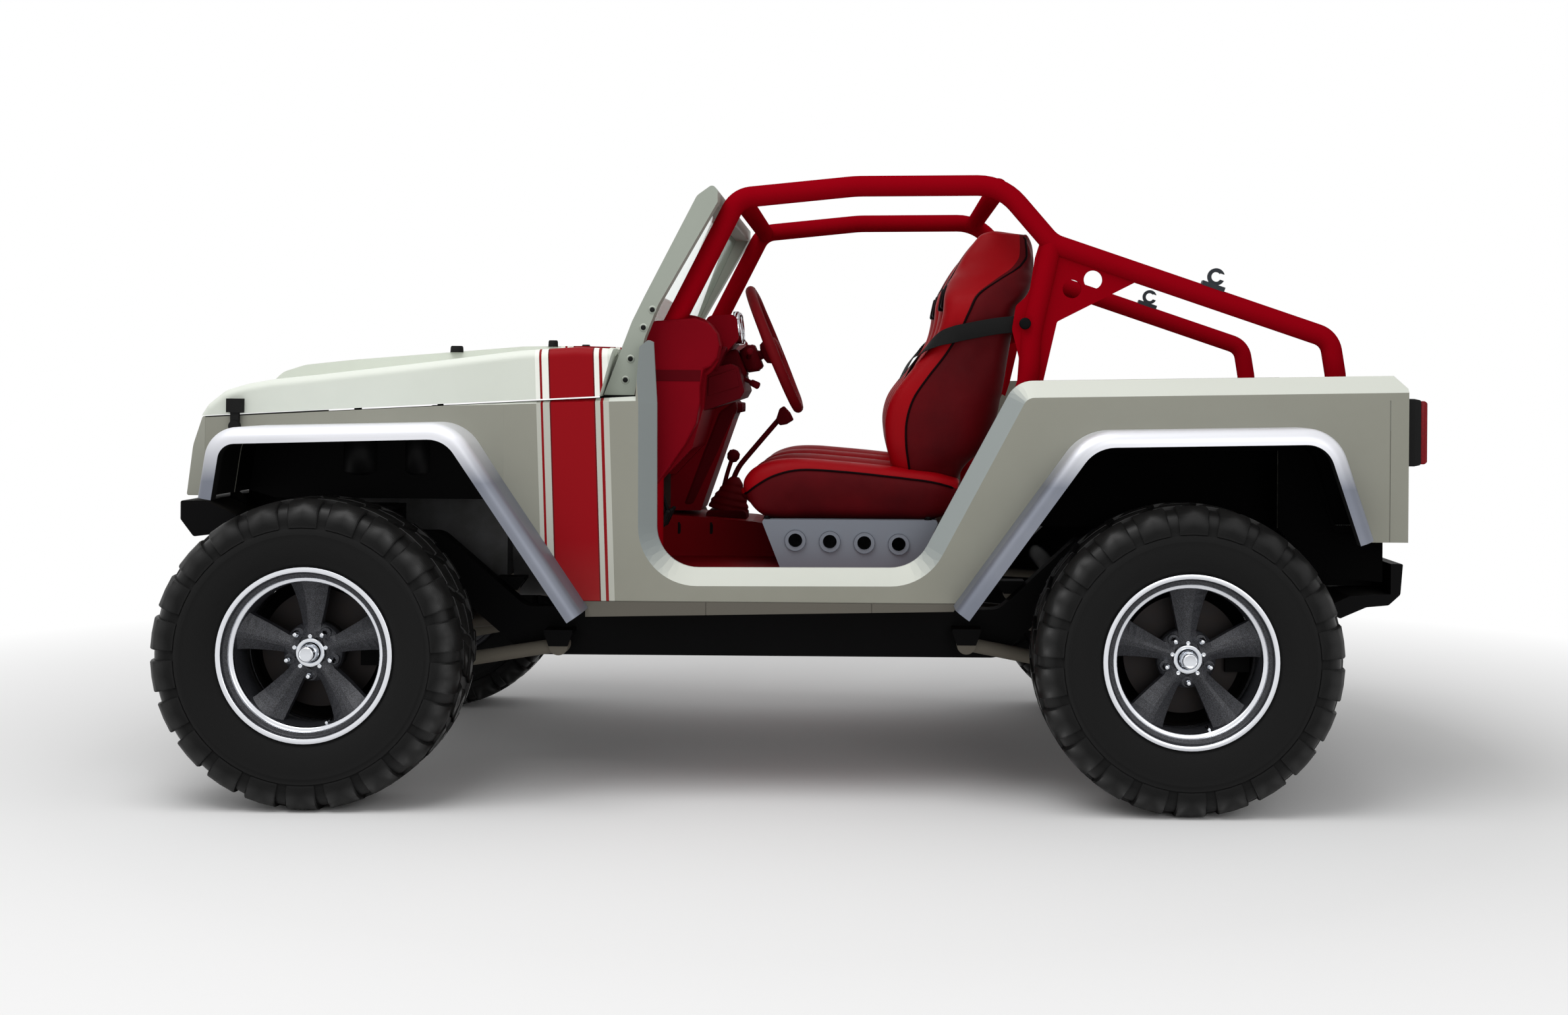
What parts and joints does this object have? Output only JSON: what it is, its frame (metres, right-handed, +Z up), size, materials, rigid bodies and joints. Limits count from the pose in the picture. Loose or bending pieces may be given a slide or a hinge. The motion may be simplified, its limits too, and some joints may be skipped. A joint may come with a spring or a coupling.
{
  "type": "lifted off-road 4x4",
  "caption": "Short-wheelbase open off-road car with live axles, a red tubular roll cage, arch flares, large lugged tyres and no doors",
  "frame": {"origin": "on the ground under the middle of the whole length and width", "axes": "+X runs to the rear, +Y to the vehicle's right and +Z up"},
  "size_m": [3.577, 1.932, 1.786],
  "materials": {
    "body_paint": "satin warm grey paint",
    "flare_silver": "smooth silver paint",
    "frame_black": "satin black paint",
    "link_grey": "grey paint",
    "cage_red": "gloss dark red powder coat",
    "trim_red": "dark red trim",
    "dash_red": "dark red moulding",
    "riser_metal": "satin blue-grey aluminium",
    "tyre_rubber": "black rubber",
    "rim_metal": "dark grey with a polished lip",
    "disc_iron": "ground iron",
    "spring_steel": "red coil paint",
    "engine_iron": "cast iron and aluminium, grey",
    "exhaust_steel": "dull steel",
    "lamp_glass": "clear lens",
    "lamp_red": "red lens on a black base",
    "screen_glass": "clear laminated glass",
    "floor_red": "dark red paint",
    "belt_black": "black woven strap",
    "catch_rubber": "black rubber"
  },
  "bodies": {
    "chassis": {"frame_rails": "frame_black", "front_bumper": "frame_black", "rear_bumper": "frame_black", "front_axle_housing": "frame_black", "rear_axle_housing": "frame_black", "suspension_links": "link_grey", "coil_springs": "spring_steel", "shock_absorbers": "frame_black", "engine_block": "engine_iron", "gearbox_and_transfer_case": "engine_iron", "propeller_shafts": "exhaust_steel", "exhaust": "exhaust_steel", "fuel_tank": "frame_black", "radiator": "frame_black", "floor_pan": "floor_red", "firewall_and_cowl": "body_paint", "body_side_left": "body_paint", "body_side_right": "body_paint", "load_bed": "body_paint", "grille_panel": "body_paint", "arch_flares": "flare_silver", "head_lamps": "lamp_glass", "tail_lamps": "lamp_red", "windscreen_frame": "body_paint", "windscreen_glass": "screen_glass", "cage_left": "cage_red", "cage_right": "cage_red", "cage_cross_tubes": "cage_red", "seats": "trim_red", "seat_risers": "riser_metal", "dashboard": "dash_red", "steering_column": "dash_red", "gear_levers": "dash_red", "inner_wings": "frame_black", "seat_belts": "belt_black", "cage_hooks": "exhaust_steel"},
    "bonnet": {"bonnet": "body_paint", "bonnet_catches": "catch_rubber"},
    "knuckle_left": {"knuckle_left": "frame_black"},
    "knuckle_right": {"knuckle_right": "frame_black"},
    "pitman_arm": {"pitman_arm": "link_grey"},
    "steering_rods": {"steering_rods": "link_grey"},
    "steering_wheel": {"steering_wheel": "trim_red"},
    "tailgate": {"tailgate": "body_paint"},
    "wheel_front_left": {"tyre_front_left": "tyre_rubber", "rim_front_left": "rim_metal", "brake_disc_front_left": "disc_iron"},
    "wheel_front_right": {"tyre_front_right": "tyre_rubber", "rim_front_right": "rim_metal", "brake_disc_front_right": "disc_iron"},
    "wheel_rear_left": {"tyre_rear_left": "tyre_rubber", "rim_rear_left": "rim_metal", "brake_disc_rear_left": "disc_iron"},
    "wheel_rear_right": {"tyre_rear_right": "tyre_rubber", "rim_rear_right": "rim_metal", "brake_disc_rear_right": "disc_iron"}
  },
  "joints": [
    {"name": "bonnet_hinge", "type": "hinge", "parent": "chassis", "child": "bonnet", "pos_m": [-0.537, 0, 1.264], "axis": [0, 1, 0], "range_deg": [0, 45]},
    {"name": "tailgate_hinge", "type": "hinge", "parent": "chassis", "child": "tailgate", "pos_m": [1.73, 0.582, 0.99], "axis": [0, 0, 1], "range_deg": [0, 90]},
    {"name": "steering_wheel_turn", "type": "hinge", "parent": "chassis", "child": "steering_wheel", "pos_m": [-0.089, -0.38, 1.282], "axis": [0.9239, 0, 0.3827], "range_deg": [-480, 480]},
    {"name": "steer_left", "type": "hinge", "parent": "chassis", "child": "knuckle_left", "pos_m": [-1.339, -0.68, 0.42663], "axis": [0, 0, 1], "range_deg": [-30, 30]},
    {"name": "steer_right", "type": "hinge", "parent": "chassis", "child": "knuckle_right", "pos_m": [-1.339, 0.68, 0.42663], "axis": [0, 0, 1], "range_deg": [-30, 30]},
    {"name": "tie_rod_pivot", "type": "hinge", "parent": "knuckle_left", "child": "steering_rods", "pos_m": [-1.489, -0.68, 0.37663], "axis": [0, 0, 1], "range_deg": [-30, 30]},
    {"name": "pitman_turn", "type": "hinge", "parent": "chassis", "child": "pitman_arm", "pos_m": [-1.459, -0.395, 0.528], "axis": [0, 0, 1], "range_deg": [-30, 30]},
    {"name": "spin_front_left", "type": "hinge", "parent": "knuckle_left", "child": "wheel_front_left", "pos_m": [-1.339, -0.815, 0.42663], "axis": [0, 1, 0], "continuous": true},
    {"name": "spin_front_right", "type": "hinge", "parent": "knuckle_right", "child": "wheel_front_right", "pos_m": [-1.339, 0.815, 0.42663], "axis": [0, 1, 0], "continuous": true},
    {"name": "spin_rear_left", "type": "hinge", "parent": "chassis", "child": "wheel_rear_left", "pos_m": [1.085, -0.815, 0.42663], "axis": [0, 1, 0], "continuous": true},
    {"name": "spin_rear_right", "type": "hinge", "parent": "chassis", "child": "wheel_rear_right", "pos_m": [1.085, 0.815, 0.42663], "axis": [0, 1, 0], "continuous": true}
  ],
  "couplings": [
    {"joint": "steer_right", "follows": "steer_left", "ratio": 1},
    {"joint": "tie_rod_pivot", "follows": "steer_left", "ratio": -1},
    {"joint": "pitman_turn", "follows": "steer_left", "ratio": 1},
    {"joint": "steering_wheel_turn", "follows": "steer_left", "ratio": -16}
  ]
}
